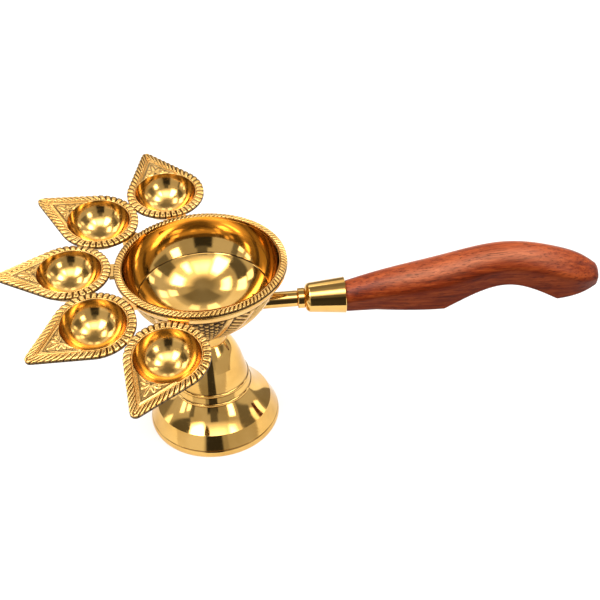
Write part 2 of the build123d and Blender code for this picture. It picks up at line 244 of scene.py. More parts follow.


# Satin lacquer over sanded wood gives the eye long red-brown streaks and short pores under a soft sheen.
# A paler sheen is painted along the shoulder, and painted shade darkens the flanks and a line above the
# ridge; the flanks also shine less.
@dataclass(frozen=True)
class LacqueredRosewood:
    """Sawn and sanded rosewood under satin lacquer."""

    name: str = "lacquered_rosewood"
    pale: str = "#9E461B"
    middle: str = "#762A0C"
    dark: str = "#3C1205"
    pore: str = "#2E0C05"
    # Colour of the painted shade on the grip's flanks.
    flank: str = "#4A1708"
    # Colour of the painted sheen along the grip's shoulder.
    sheen_colour: str = "#C87850"
    roughness: float = 0.36
    top_sheen: float = 0.2
    flank_sheen: float = 0.1
    figure_mm: float = 11.0
    figure_share: float = 0.75
    streak_mm: float = 1.6
    grain_stretch: float = 0.10
    grain_turn: tuple[float, float, float] = (0.0, radians(-8), radians(4))
    pore_mm: float = 0.55  # wider than real pores, so that they show
    pore_length: float = 11.0
    pore_depth_mm: float = 0.08

    def build(self) -> bpy.types.Material:
        """Make the material.

        Returns:
            The material.
        """
        material, tree = fresh_material(self.name)
        place = add_node(tree, "TexCoord").outputs["Object"]
        along = add_node(tree, "Mapping", {
            "Vector": place, "Scale": (self.grain_stretch, 1.0, 1.0), "Rotation": self.grain_turn})
        figure = add_node(tree, "TexNoise", {
            "Vector": along.outputs["Vector"], "Scale": 1 / (self.figure_mm * MM), "Detail": 3.0,
            "Distortion": 0.8})
        streak = add_node(tree, "TexNoise", {
            "Vector": along.outputs["Vector"], "Scale": 1 / (self.streak_mm * MM), "Detail": 7.0,
            "Roughness": 0.66})
        both = add_node(tree, "Math", {
            0: figure.outputs["Fac"], 1: self.figure_share, 2: streak.outputs["Fac"]},
            operation="MULTIPLY_ADD")
        even = add_node(tree, "Math", {0: both.outputs["Value"], 1: 1 + self.figure_share},
                        operation="DIVIDE")
        colour = add_node(tree, "ValToRGB", {"Fac": even.outputs["Value"]},
                          stops=((0.36, self.dark), (0.47, self.middle), (0.60, self.pale)))
        thin = add_node(tree, "Mapping", {"Vector": place, "Scale": (1 / self.pore_length, 1.0, 1.0)})
        pores = add_node(tree, "TexNoise", {
            "Vector": thin.outputs["Vector"], "Scale": 1 / (self.pore_mm * MM), "Detail": 2.0})
        open_pore = add_node(tree, "MapRange", {
            "Value": pores.outputs["Fac"], "From Min": 0.56, "From Max": 0.68, "To Min": 0.0, "To Max": 0.7})
        # Painted sheen: a paler band along the shoulder where the sheen falls, broken up by the streaks.
        painted_sheen = add_node(tree, "Attribute", attribute_name=Layer.PAINTED_SHEEN.value)
        uneven = add_node(tree, "MapRange", {
            "Value": streak.outputs["Fac"], "From Min": 0.35, "From Max": 0.65,
            "To Min": 0.55, "To Max": 1.05})
        painted_sheen_amount = add_node(tree, "Math", {0: painted_sheen.outputs["Fac"], 1: uneven.outputs["Result"]},
                        operation="MULTIPLY")
        # On the grip the shade layer is painted shade: darker flanks and a dark line above the ridge.
        shade = add_node(tree, "Attribute", attribute_name=Layer.SHADE.value)
        wood = colour.outputs["Color"]
        for amount, hue in ((painted_sheen_amount.outputs["Value"], self.sheen_colour), (open_pore.outputs["Result"], self.pore),
                            (shade.outputs["Fac"], self.flank)):
            wood = add_node(tree, "Mix", {"Factor": amount, COLOUR_A: wood, COLOUR_B: linear(hue)},
                            data_type="RGBA").outputs[COLOUR_OUT]
        rough = add_node(tree, "MapRange", {
            "Value": streak.outputs["Fac"], "To Min": self.roughness * 0.85, "To Max": self.roughness * 1.25})
        bump = add_node(tree, "Bump", {
            "Height": open_pore.outputs["Result"], "Strength": 0.25, "Distance": -self.pore_depth_mm * MM})
        sheen = add_node(tree, "MapRange", {
            "Value": shade.outputs["Fac"], "From Max": 0.25,
            "To Min": self.top_sheen, "To Max": self.flank_sheen})
        shader = add_node(tree, "BsdfPrincipled", {
            "Base Color": wood, "Roughness": rough.outputs["Result"], "Normal": bump.outputs["Normal"],
            "Specular IOR Level": sheen.outputs["Result"]})
        add_node(tree, "OutputMaterial", {"Surface": shader.outputs["BSDF"]})
        return material


# Matt paper scatters light evenly, so the eye gets a plain white on which only a faint shadow shows.
@dataclass(frozen=True)
class StudioPaper:
    """Matt white background paper."""

    name: str = "matt_background_paper"
    white: str = "#A4A4A3"
    lift: float = 0.62
    roughness: float = 0.9
    grain_mm: float = 1.5
    grain_depth_mm: float = 0.1

    def build(self) -> bpy.types.Material:
        """Make the material. Its own glow is for the eye and for reflections, and lights nothing.

        Returns:
            The material.
        """
        material, tree = fresh_material(self.name)
        place = add_node(tree, "TexCoord").outputs["Object"]
        grain = add_node(tree, "TexNoise", {"Vector": place, "Scale": 1 / (self.grain_mm * MM)})
        bump = add_node(tree, "Bump", {
            "Height": grain.outputs["Fac"], "Strength": 0.02, "Distance": self.grain_depth_mm * MM})
        path = add_node(tree, "LightPath").outputs
        seen = add_node(tree, "Math", {0: path["Is Camera Ray"], 1: path["Is Glossy Ray"]}, operation="ADD")
        seen = add_node(tree, "Math", {0: seen.outputs["Value"], 1: path["Is Transmission Ray"]},
                        operation="ADD", use_clamp=True)
        glow = add_node(tree, "Math", {0: seen.outputs["Value"], 1: self.lift}, operation="MULTIPLY")
        shader = add_node(tree, "BsdfPrincipled", {
            "Base Color": linear(self.white), "Roughness": self.roughness, "Normal": bump.outputs["Normal"],
            "Emission Color": (1.0, 1.0, 1.0, 1.0), "Emission Strength": glow.outputs["Value"]})
        add_node(tree, "OutputMaterial", {"Surface": shader.outputs["BSDF"]})
        return material


@dataclass(frozen=True)
class Finishes:
    """The lamp's finished materials."""

    buffed: bpy.types.Material
    satin: bpy.types.Material
    chased: bpy.types.Material
    wood: bpy.types.Material


def grid_faces(rows: int, columns: int) -> np.ndarray:
    """Quads of a grid of points that closes on itself across its columns.

    Args:
        rows: Number of rows of points.
        columns: Points in each row.

    Returns:
        Four point numbers for each quad.
    """
    row, column = np.meshgrid(np.arange(rows - 1), np.arange(columns), indexing="ij")
    right = (column + 1) % columns
    here, above = row * columns, (row + 1) * columns
    return np.stack([here + column, here + right, above + right, above + column], axis=-1).reshape(-1, 4)


def make_piece(name: str, points_mm: np.ndarray, body: Body, material: bpy.types.Material,
               replaced: tuple[str, ...] = (), layers: dict[Layer, np.ndarray] | None = None,
               crease: float = 40.0) -> bpy.types.Object:
    """Make a closed skin from rings of points and let it ride on a body.

    Args:
        name: Name of the piece.
        points_mm: Rings of points in millimetres, shaped rows by columns by 3. The first and last ring may
            shrink to a point.
        body: Body that the piece moves with.
        material: Its material.
        replaced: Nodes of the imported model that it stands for.
        layers: Amounts from 0 to 1 at each point that the finish reads, shaped rows by columns.
        crease: Edges that turn by more than this many degrees stay sharp.

    Returns:
        The new object.
    """
    rows, columns = points_mm.shape[:2]
    mesh = bpy.data.meshes.new(name)
    mesh.from_pydata((points_mm.reshape(-1, 3) * MM).tolist(), [], grid_faces(rows, columns).tolist())
    for layer, amounts in (layers or {}).items():
        values = mesh.attributes.new(layer.value, "FLOAT", "POINT").data
        values.foreach_set("value", np.clip(amounts, 0, 1).astype(np.float32).ravel())
    mesh.validate()
    mesh.shade_smooth()
    mesh.set_sharp_from_angle(angle=radians(crease))
    mesh.materials.append(material)
    piece = bpy.data.objects.new(name, mesh)
    bpy.context.scene.collection.objects.link(piece)
    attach(piece, body.value)
    if replaced:
        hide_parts(*replaced)
    LOG.info("%s: %d faces", name, len(mesh.polygons))
    return piece


def dress(node: bpy.types.Object, material: bpy.types.Material) -> None:
    """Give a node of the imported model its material.

    Args:
        node: Object of the node.
        material: Its material.
    """
    node.data.materials.clear()
    node.data.materials.append(material)
    LOG.info("%s: dressed in %s", node.name, material.name)


class RingStack:
    """Rings of points that make up a skin, and how dark each point is."""

    def __init__(self, columns: int) -> None:
        """Start with no rings.

        Args:
            columns: Points in each ring.
        """
        self.level = np.zeros(columns)
        self.rows: list[np.ndarray] = []
        self.shades: list[np.ndarray] = []

    def add(self, flat: np.ndarray, height: float | np.ndarray, shade: float | np.ndarray) -> None:
        """Add a ring.

        Args:
            flat: First two coordinates of each point.
            height: Third coordinate, of the whole ring or of each point.
            shade: Darkness from 0 to 1, of the whole ring or of each point.
        """
        self.rows.append(np.column_stack([flat, self.level + height]))
        self.shades.append(self.level + shade)

    def skin(self) -> np.ndarray:
        """All points, rows by columns by 3."""
        return np.stack(self.rows)

    def shade(self) -> np.ndarray:
        """Darkness of all points, rows by columns."""
        return np.stack(self.shades)


def turned(profile: np.ndarray, columns: int) -> np.ndarray:
    """Turn a profile about the Z axis.

    Args:
        profile: Radius and height of each ring.
        columns: Points round each ring.

    Returns:
        Rings of points, rows by columns by 3.
    """
    angle = np.linspace(0, tau, columns, endpoint=False)
    radius, height = profile[:, :1], profile[:, 1:]
    return np.stack([radius * np.cos(angle), radius * np.sin(angle), height + 0 * angle], axis=-1)


def way_along(points: np.ndarray) -> np.ndarray:
    """Distance of each point from the first one, along straight runs."""
    return np.concatenate([[0], np.cumsum(np.hypot(*np.diff(points, axis=0).T))])


def curve_through(points: list[Pair], steps: int) -> np.ndarray:
    """Smooth curve through points (a natural spline by distance along its chords).

    Args:
        points: Points that the curve passes.
        steps: Number of points on the curve.

    Returns:
        Points on the curve, first and last included.
    """
    given = np.array(points, float)
    chord = way_along(given)
    size = len(given)
    gaps = np.diff(chord)
    system, wanted = np.eye(size), np.zeros((size, 2))
    for i in range(1, size - 1):
        system[i, i - 1:i + 2] = gaps[i - 1], 2 * (gaps[i - 1] + gaps[i]), gaps[i]
        wanted[i] = 6 * ((given[i + 1] - given[i]) / gaps[i] - (given[i] - given[i - 1]) / gaps[i - 1])
    bend = np.linalg.solve(system, wanted)
    place = np.linspace(0, chord[-1], steps)
    i = np.clip(np.searchsorted(chord, place, side="right") - 1, 0, size - 2)
    h, after, before = gaps[i][:, None], (place - chord[i])[:, None], (chord[i + 1] - place)[:, None]
    bowed = (bend[i] * before**3 + bend[i + 1] * after**3) / (6 * h)
    from_before = (given[i] / h - bend[i] * h / 6) * before
    from_after = (given[i + 1] / h - bend[i + 1] * h / 6) * after
    return bowed + from_before + from_after


def arc_points(start: Pair, bulge: float, end: Pair, steps: int) -> np.ndarray:
    """Circular arc between two points.

    Args:
        start: First point.
        bulge: How far the arc stands away from its chord, to the right of the way from start to end.
        end: Last point.
        steps: Number of points on the arc.

    Returns:
        Points on the arc, first and last included.
    """
    first, last = np.array(start, float), np.array(end, float)
    chord = last - first
    half = np.hypot(*chord) / 2
    radius = (half**2 + bulge**2) / (2 * abs(bulge))
    normal = np.array([chord[1], -chord[0]]) / (2 * half) * np.sign(bulge)
    centre = (first + last) / 2 - normal * (radius - abs(bulge))
    from_angle = np.arctan2(*(first - centre)[::-1])
    turn = 2 * asin(min(1.0, half / radius)) * np.sign(bulge)
    angle = from_angle + np.linspace(0, turn, steps)
    return centre + radius * np.stack([np.cos(angle), np.sin(angle)], axis=1)


def straight(start: Pair, end: Pair, steps: int) -> np.ndarray:
    """Evenly spaced points on a line."""
    return np.linspace(start, end, steps)


def soften(value: np.ndarray, low: float, high: float) -> np.ndarray:
    """Smooth step from 0 at low to 1 at high."""
    t = np.clip((value - low) / (high - low), 0, 1)
    return t * t * (3 - 2 * t)


def hump(value: np.ndarray, centre: float, width: float) -> np.ndarray:
    """Smooth hump of height 1 about a centre."""
    return np.exp(-((value - centre) / width) ** 2)


def from_cut(phase: np.ndarray) -> np.ndarray:
    """Distance to the nearest cut, which lies at whole numbers, from 0 to a half."""
    return 0.5 - np.abs(phase % 1 - 0.5)


def from_groove(phase: np.ndarray) -> np.ndarray:
    """Distance to the nearest groove, which lies half way between whole numbers, from 0 to 1."""
    return np.abs(phase % 1 - 0.5) * 2


def strands(phase: np.ndarray) -> np.ndarray:
    """Height of rope strands, from 0 in their cuts to 1 on their rounded backs."""
    near = from_cut(phase)
    return soften(near, 0.0, 0.25) * (0.84 + 0.16 * np.sin(pi * near))


def rope(phase: np.ndarray, across: float) -> np.ndarray:
    """Height of a rope border.

    Args:
        phase: Strand number, whole numbers lie in the cuts.
        across: Place across the border, from 0 at its inner to 1 at its outer edge.

    Returns:
        Height from 0 in the cuts to 1 on the strands, rounded off at the outer edge.
    """
    return strands(phase) * (1 - 0.45 * across**5) * float(soften(np.array(across), -0.05, 0.1))


def rope_oxide(phase: np.ndarray) -> np.ndarray:
    """Dark oxide left in the cuts of a rope border."""
    return 0.97 * (1 - soften(from_cut(phase), 0.06, 0.20))


@dataclass
class BellStand:
    """Lathe-turned bell with its neck collar. Sizes are in millimetres."""

    height: float = 53.4
    top_radius: float = 9.9
    shoulder: Pair = (13.2, 48.0)
    cone: Pair = (16.2, 40.5)
    band_top: Pair = (19.0, 29.4)
    band_low: Pair = (20.2, 22.6)
    bead_height: float = 1.7
    bead_swell: float = 0.6
    flare: Pair = (24.4, 16.9)
    step: Pair = (30.0, 11.5)
    lip: Pair = (33.5, 4.2)
    lip_swell: float = 0.55
    sole_radius: float = 33.6
    wall: float = 2.6
    boss_depth: float = 13.0
    bore: float = 4.84
    edge_step: float = 0.35
    line_width: float = 0.16
    line_shade: float = 0.75
    neck_radius: float = 9.6
    neck_waist: float = 9.1
    neck_height: float = 7.6
    columns: int = 256
    neck_columns: int = 96

    def bell_profile(self) -> np.ndarray:
        """Section of the bell.

        Returns:
            Radius and height down the outside of the bell and back up inside it.
        """
        top, low, lip, edge = self.band_top, self.band_low, self.lip, self.edge_step
        top_foot, low_head = (top[0], top[1] - self.bead_height), (low[0], low[1] + self.bead_height)
        brow, crown = (self.top_radius, self.height - edge), (self.top_radius - edge, self.height)
        lip_edge, sole = (lip[0], lip[1] - edge), (self.sole_radius, 0)
        ceiling = self.height - self.boss_depth
        inner_sole = (self.sole_radius - self.wall, 0)
        inner_step = (self.step[0] - self.wall, self.step[1] - self.wall)
        inner_band = (low[0] - self.wall, low[1] - self.wall)
        inner_top = (self.cone[0] - self.wall, ceiling)
        return np.concatenate([
            straight((self.bore, ceiling), (self.bore, self.height), 4),
            straight((self.bore, self.height), crown, 4),
            arc_points(crown, -edge / 4, brow, 4),
            curve_through([brow, self.shoulder, self.cone], 30),
            straight(self.cone, top, 14),
            arc_points(top, -self.bead_swell, top_foot, 9),
            straight(top_foot, low_head, 6),
            arc_points(low_head, -self.bead_swell, low, 9),
            curve_through([low, self.flare, self.step], 26),
            straight(self.step, lip, 10),
            straight((lip[0] - edge, lip[1] - edge / 2), lip_edge, 3),
            arc_points(lip_edge, -self.lip_swell, sole, 10),
            straight(sole, inner_sole, 3),
            straight(inner_sole, inner_step, 4),
            straight(inner_step, inner_band, 4),
            straight(inner_band, inner_top, 4),
            straight(inner_top, (self.bore, ceiling), 3),
        ])

    def neck_profile(self) -> np.ndarray:
        """Section of the neck collar.

        Returns:
            Radius and height round the section.
        """
        foot, top = self.height, self.height + self.neck_height
        radius, bore = self.neck_radius, self.bore
        return np.concatenate([
            straight((bore, top), (bore, foot), 3),
            straight((bore, foot), (radius, foot), 3),
            arc_points((radius, foot), radius - self.neck_waist, (radius, top), 14),
            straight((radius, top), (bore, top), 3),
        ])

    def build(self, finishes: Finishes) -> None:
        """Make the bell and the neck collar in buffed brass.

        Args:
            finishes: The lamp's materials.
        """
        profile = self.bell_profile()
        lines = (self.band_top[1], self.band_top[1] - self.bead_height, self.band_low[1] + self.bead_height,
                 self.band_low[1], self.lip[1] - self.edge_step)
        dark = np.clip(sum(hump(profile[:, 1], line, self.line_width) for line in lines), 0, 1)
        shade = self.line_shade * dark[:, None] * np.ones(self.columns)
        make_piece("bell_stand_turned", turned(profile, self.columns), Body.STAND,
                   finishes.buffed, ("bell_stand",), {Layer.SHADE: shade}, crease=22)
        make_piece("neck_collar_turned", turned(self.neck_profile(), self.neck_columns), Body.NECK,
                   finishes.buffed, ("neck_collar",), crease=30)


@dataclass
class OilBowl:
    """Central bowl: buffed inside, rope border on its rim, chased panels outside. Sizes in millimetres."""

    base: float = 61.0
    height: float = 40.0
    foot_radius: float = 10.2
    sag: float = 4.4
    rim_radius: float = 42.5
    rim_height: float = 3.6
    overhang: float = 1.9
    groove_height: float = 1.0
    # Painted shadow in the groove under the rim's overhang.
    groove_shade: float = 0.85
    opening: float = 38.5
    depth: float = 33.5
    rope_width: float = 3.4
    rope_inset: float = 0.2
    rope_relief: float = 0.85
    strand_count: int = 118
    strand_lean: float = 1.0
    strand_columns: int = 10
    rope_rows: int = 17
    bead_relief: float = 0.4
    bead_shade: float = 0.55
    bead_rows: int = 9
    lip_inset: float = 0.05
    lip_drop: float = 0.6
    lip_shade: float = 0.15
    ring_depth: float = 18.2
    ring_width: float = 0.24
    ring_cut: float = 0.05
    ring_reach: float = 0.03
    ring_rows: int = 25
    # Painted shade inside the hollow, darkest at the lip.
    lip_painted_shade: float = 0.45
    painted_shade_depth: float = 15.0
    hollow_rows: int = 120
    hollow_columns: int = 224
    hollow_pole: float = 0.0004
    plain_band: float = 3.2
    foot_band: float = 1.5
    band_line: float = 0.3
    panels: int = 10
    panel_lean: float = 0.5
    panel_turn: float = -51.3
    lattice_mm: float = 3.9
    lattice_radius: float = 30.0
    lattice_blend: Pair = (0.4, 0.66)
    barb_mm: float = 2.9
    barb_rise: float = 16.0
    barb_blend: Pair = (0.36, 0.66)
    rib_blend: Pair = (0.03, 0.07)
    border_blend: Pair = (0.06, 0.08)
    border_line: float = 0.085
    border_width: float = 0.022
    foot_blend: Pair = (1.2, 2.2)
    band_blend: float = 0.6
    cut_depth: float = 0.7
    cut_shade: float = 0.98
    cut_spread: float = 0.7
    wall_columns: int = 760
    wall_rows: int = 124
    crease: float = 75.0

    @property
    def top(self) -> float:
        """Height of the rim."""
        return self.base + self.height

    def inside(self) -> np.ndarray:
        """Section of the oval hollow, with a fine ring line and painted shade below the lip.

        Returns:
            Radius, height and darkness from the middle up to the edge.
        """
        ring = asin(self.ring_depth / self.depth)
        near_ring = ring + np.linspace(-self.ring_reach, self.ring_reach, self.ring_rows)
        whole = np.linspace(0, pi / 2 - self.hollow_pole, self.hollow_rows)
        turn = np.unique(np.concatenate([whole, near_ring]))[::-1]
        across, down = np.cos(turn) / self.opening, np.sin(turn) / self.depth
        steep = np.hypot(across, down)
        fall = self.depth * np.sin(turn)
        cut = hump(fall, self.ring_depth, self.ring_width)
        # Painted shade below the lip, fading down the hollow.
        tarnish = self.lip_painted_shade * (1 - soften(fall, 0.0, self.painted_shade_depth))
        radius = self.opening * np.cos(turn) + self.ring_cut * cut * across / steep
        height = self.top - fall - self.ring_cut * cut * down / steep
        return np.stack([radius, height, np.maximum(cut, tarnish)], axis=1)

    def build_inside(self, finishes: Finishes) -> None:
        """Make the buffed hollow of the bowl.

        Args:
            finishes: The lamp's materials.
        """
        profile = self.inside()
        shade = profile[:, 2:] * np.ones(self.hollow_columns)
        make_piece("bowl_hollow", turned(profile[:, :2], self.hollow_columns), Body.HEAD,
                   finishes.buffed, ("bowl",), {Layer.SHADE: shade}, crease=60)

    def rim_face(self) -> tuple[tuple[float, float, float], ...]:
        """Outer face of the rim, with painted shadow under the overhang and a painted shadow line under the
        rope.

        Returns:
            Inset from the rim, drop below its top and shade of each ring, from the groove up.
        """
        foot = self.rim_height
        return ((self.overhang, foot, 0.9), (0.4, foot, 0.7), (0.1, foot - 0.3, 0.1), (0.0, foot - 1.0, 0.0),
                (0.0, 2.0, 0.0), (0.1, 1.8, 0.97), (0.3, 1.4, 0.97), (0.15, 1.15, 0.97))

    def build_rim(self, finishes: Finishes) -> None:
        """Make the rope border with its smooth inner bead and the rim's outer face.

        Args:
            finishes: The lamp's materials.
        """
        columns = self.strand_count * self.strand_columns
        angle = np.linspace(0, tau, columns, endpoint=False)
        circle = np.column_stack([np.cos(angle), np.sin(angle)])
        inner = self.rim_radius - self.rope_width
        rope_foot = self.top - self.rope_relief
        stack = RingStack(columns)
        # The rim's outer face carries painted shadow under the overhang and under the rope.
        for inset, drop, shade in self.rim_face():
            stack.add((self.rim_radius - inset) * circle, self.top - drop, shade)
        for across in np.linspace(1, 0, self.rope_rows):
            phase = angle * self.strand_count / tau + self.strand_lean * across
            radius = inner + (self.rope_width - self.rope_inset) * across
            stack.add(radius * circle, rope_foot + self.rope_relief * rope(phase, across), rope_oxide(phase))
        for place in np.linspace(0, 1, self.bead_rows):
            radius = inner - (inner - self.opening) * place
            swell = sin(pi * place)
            height = rope_foot + self.bead_relief * swell**BEAD_ROUND
            stack.add(radius * circle, height, self.bead_shade * (1 - swell) ** 2)
        stack.add((self.opening - self.lip_inset) * circle, rope_foot - self.lip_drop, self.lip_shade)
        make_piece("bowl_rope_rim", stack.skin(), Body.HEAD, finishes.chased,
                   layers={Layer.SHADE: stack.shade()}, crease=self.crease)

    def chasing(self, angle: np.ndarray, up: np.ndarray, full: float) -> np.ndarray:
        """Cuts in the outside: leaning panels of diamond lattice and of feather strokes below a plain band.

        Args:
            angle: Bearing of each point.
            up: Distance of each point up the wall from the foot.
            full: Distance from the foot to the groove under the rim.

        Returns:
            Depth of the cut at each point, from 0 to 1.
        """
        panel = (angle - radians(self.panel_turn)) * self.panels / tau - self.panel_lean * up / full
        inside_panel = panel % 1
        feathered = np.floor(panel).astype(int) % 2 == 1
        girth = angle * self.lattice_radius
        diamonds = np.minimum(
            from_groove((girth + up) / self.lattice_mm), from_groove((girth - up) / self.lattice_mm))
        lattice_cut = 1 - soften(diamonds, *self.lattice_blend)
        from_rib = np.abs(inside_panel - 0.5)
        barbs = from_groove((up - from_rib * self.barb_rise) / self.barb_mm)
        feather_cut = (1 - soften(barbs, *self.barb_blend)) * soften(from_rib, *self.rib_blend)
        cut = np.where(feathered, feather_cut, lattice_cut)
        edge = np.minimum(inside_panel, 1 - inside_panel)
        border = hump(edge, self.border_line, self.border_width)
        cut = np.maximum(cut * soften(edge, *self.border_blend), border)
        band_start = full - self.plain_band
        below_band = 1 - soften(up, band_start - self.band_blend, band_start)
        chased = soften(up, *self.foot_blend) * below_band
        lines = hump(up, band_start, self.band_line) + hump(up, self.foot_band, self.band_line)
        return np.clip(cut * chased + lines, 0, 1)

    def build_outside(self, finishes: Finishes) -> None:
        """Make the chased outside with its foot and the groove under the rim.

        Args:
            finishes: The lamp's materials.
        """
        columns = self.wall_columns
        groove_top = self.top - self.rim_height
        groove = (self.rim_radius - self.overhang, groove_top - self.groove_height)
        wall = arc_points((self.foot_radius, self.base), self.sag, groove, self.wall_rows)
        way = way_along(wall)
        angle = np.linspace(0, tau, columns, endpoint=False)[None, :]
        cut = self.chasing(angle, way[:, None] + 0 * angle, way[-1])
        slope = np.gradient(wall, axis=0)
        normal = np.stack([slope[:, 1], -slope[:, 0]], axis=1)
        normal /= np.hypot(*normal.T)[:, None]
        radius = wall[:, :1] - normal[:, :1] * cut * self.cut_depth
        height = wall[:, 1:] - normal[:, 1:] * cut * self.cut_depth
        skin = np.stack([radius * np.cos(angle), radius * np.sin(angle), height], axis=-1)
        collar = turned(np.array([groove, (groove[0], groove_top)]), columns)
        foot = turned(np.array([(NEAR_AXIS, self.base), (self.foot_radius, self.base)]), columns)
        ends = np.ones((2, columns))
        in_cuts = self.cut_shade * cut**self.cut_spread
        # The groove under the rim gets painted shadow.
        shade = np.concatenate([0 * ends, in_cuts, self.groove_shade * ends])
        make_piece("bowl_chased_wall", np.concatenate([foot, skin, collar]), Body.HEAD,
                   finishes.chased, layers={Layer.SHADE: shade}, crease=self.crease)

    def build(self, finishes: Finishes) -> None:
        """Make all of the bowl.

        Args:
            finishes: The lamp's materials.
        """
        self.build_inside(finishes)
        self.build_rim(finishes)
        self.build_outside(finishes)


@dataclass(frozen=True)
class LeafSetting:
    """How a leaf was set by hand, in degrees and millimetres.

    Toe turns its tip about the lamp's axis, lift raises its tip, fall tips it sideways and rise is the
    height of its back edge above the bowl's rim.
    """

    number: int
    toe: float
    lift: float
    fall: float
    rise: float


@dataclass(frozen=True)
class Petal:
    """A raised petal: its turn from the leaf's middle line in degrees, its length and its half width."""

    turn: float
    length: float
    half_width: float


@dataclass
class LeafLamp:
    """One pointed leaf dish with a wick cup, a rope border and a chased panel. Sizes in millimetres."""

    setting: LeafSetting
    middle_number: int = 3
    rim_radius: float = 42.5
    rim_top: float = 101.0
    rim_gap: float = 1.3
    neighbour_gap: float = 0.7
    back_radius: float = 20.1
    reach: float = 35.79
    tip_radius: float = 2.8
    thickness: float = 2.8
    sole_inset: float = 0.6
    sole_edge: float = 0.5
    under_rows: int = 14
    under_shade: float = 0.2
    # Painted shade on the dish's side faces, a little deeper in the nicks.
    side_shade: float = 0.95
    edge_shade: float = 0.85
    nick_shade: float = 0.12
    rope_width: float = 3.7
    rope_relief: float = 0.9
    rope_fall: float = 0.2
    strand_mm: float = 3.1
    strand_lean: float = 1.2
    lean_blend: Pair = (0.30, 0.80)
    scallop: float = 0.2
    rope_rows: int = 15
    bead_width: float = 0.7
    bead_relief: float = 0.45
    bead_shade: float = 0.7
    bead_rows: int = 7
    panel_drop: float = 0.7
    panel_rows: int = 48
    panel_blend: Pair = (0.3, 1.2)
    line_relief: float = 0.5
    side_line: float = 0.75
    side_cut: float = 1.55
    side_width: float = 0.34
    side_cut_shade: float = 0.9
    petal_gap: float = 0.9
    petal_bend: float = 0.055
    petal_shade: float = 0.85
    petals: tuple[Petal, ...] = (
        Petal(0, 7.6, 1.0), Petal(36, 5.6, 0.95), Petal(66, 5.4, 0.9), Petal(90, 7.4, 0.85))
    cup_opening: float = 16.0
    cup_depth: float = 13.2
    cup_wall: float = 1.6
    lip_gap: float = 0.02
    lip_height: float = 0.12
    lip_shade: float = 0.1
    # Painted shade inside the cup, darkest at the lip.
    lip_painted_shade: float = 0.6
    cup_rows: int = 34
    half_columns: int = 290
    crease: float = 75.0

    @property
    def side_sine(self) -> float:
        """Sine of the angle between the leaf's middle line and its straight sides."""
        return (self.back_radius - self.tip_radius) / (self.reach - self.tip_radius)

    def outline(self) -> np.ndarray:
        """Edge of the leaf's upper half.

        Returns:
            Finely stepped points from the tip round to the back.
        """
        join = acos(self.side_sine)
        tip_turn = np.linspace(0, join, 60)
        tip = self.tip_radius * np.stack([np.cos(tip_turn), np.sin(tip_turn)], axis=1)
        tip[:, 0] += self.reach - self.tip_radius
        back_turn = np.linspace(join, pi, 500)
        back = self.back_radius * np.stack([np.cos(back_turn), np.sin(back_turn)], axis=1)
        return np.concatenate([tip, np.linspace(tip[-1], back[0], 300)[1:-1], back])

    def inset(self, edge: np.ndarray, distance: float) -> np.ndarray:
        """Ring of points a distance inside the edge, with the same number of points at any distance.

        Args:
            edge: Upper half of the leaf's edge.
            distance: How far inside the edge the ring runs.

        Returns:
            The whole ring, from the tip round the upper side to the back and along the lower side.
        """
        slope = np.gradient(edge, axis=0)
        slope /= np.hypot(*slope.T)[:, None]
        moved = edge + distance * np.stack([-slope[:, 1], slope[:, 0]], axis=1)
        kept = moved[moved[:, 1] >= 0]
        first = int(np.argmax(moved[:, 1] >= 0))
        if first:
            before, after = moved[first - 1], moved[first]
            share = before[1] / (before[1] - after[1])
            kept = np.concatenate([[before + share * (after - before)], kept])
        kept = np.concatenate([kept, [[-(self.back_radius - distance), 0.0]]])
        way = way_along(kept)
        step = np.linspace(0, way[-1], self.half_columns + 1)
        half = np.stack([np.interp(step, way, kept[:, 0]), np.interp(step, way, kept[:, 1])], axis=1)
        half[0, 1] = half[-1, 1] = 0.0
        other = half[-2:0:-1] * np.array([1.0, -1.0])
        return np.concatenate([half, other])

    def panel_relief(self, u: np.ndarray, v: np.ndarray) -> tuple[np.ndarray, np.ndarray]:
        """Height of the panel's ornament: a line along each side and a spray of petals above the cup.

        Args:
            u: Distance from the cup's centre towards the tip.
            v: Distance to the side.

        Returns:
            Height from 0 to 1 and the dark oxide beside the raised work.
        """
        side = np.abs(v)
        inner = self.back_radius - self.rope_width - self.bead_width
        from_side = inner - u * self.side_sine - side * sin(acos(self.side_sine))
        relief = hump(from_side, self.side_line, self.side_width)
        dark = self.side_cut_shade * hump(from_side, self.side_cut, self.side_width)
        root = u - self.cup_opening - self.petal_gap + self.petal_bend * side**2
        for petal in self.petals:
            tilt = radians(petal.turn)
            along = root * cos(tilt) + side * sin(tilt) - petal.length * 0.56
            across = side * cos(tilt) - root * sin(tilt)
            inside = 1 - (along / (petal.length * 0.46)) ** 2 - (across / petal.half_width) ** 2
            relief = np.maximum(relief, np.sqrt(np.clip(inside, 0, 1)))
            dark = np.maximum(dark, self.petal_shade * hump(inside, -0.3, 0.3))
        return relief, dark * (1 - soften(relief, 0.2, 0.55))

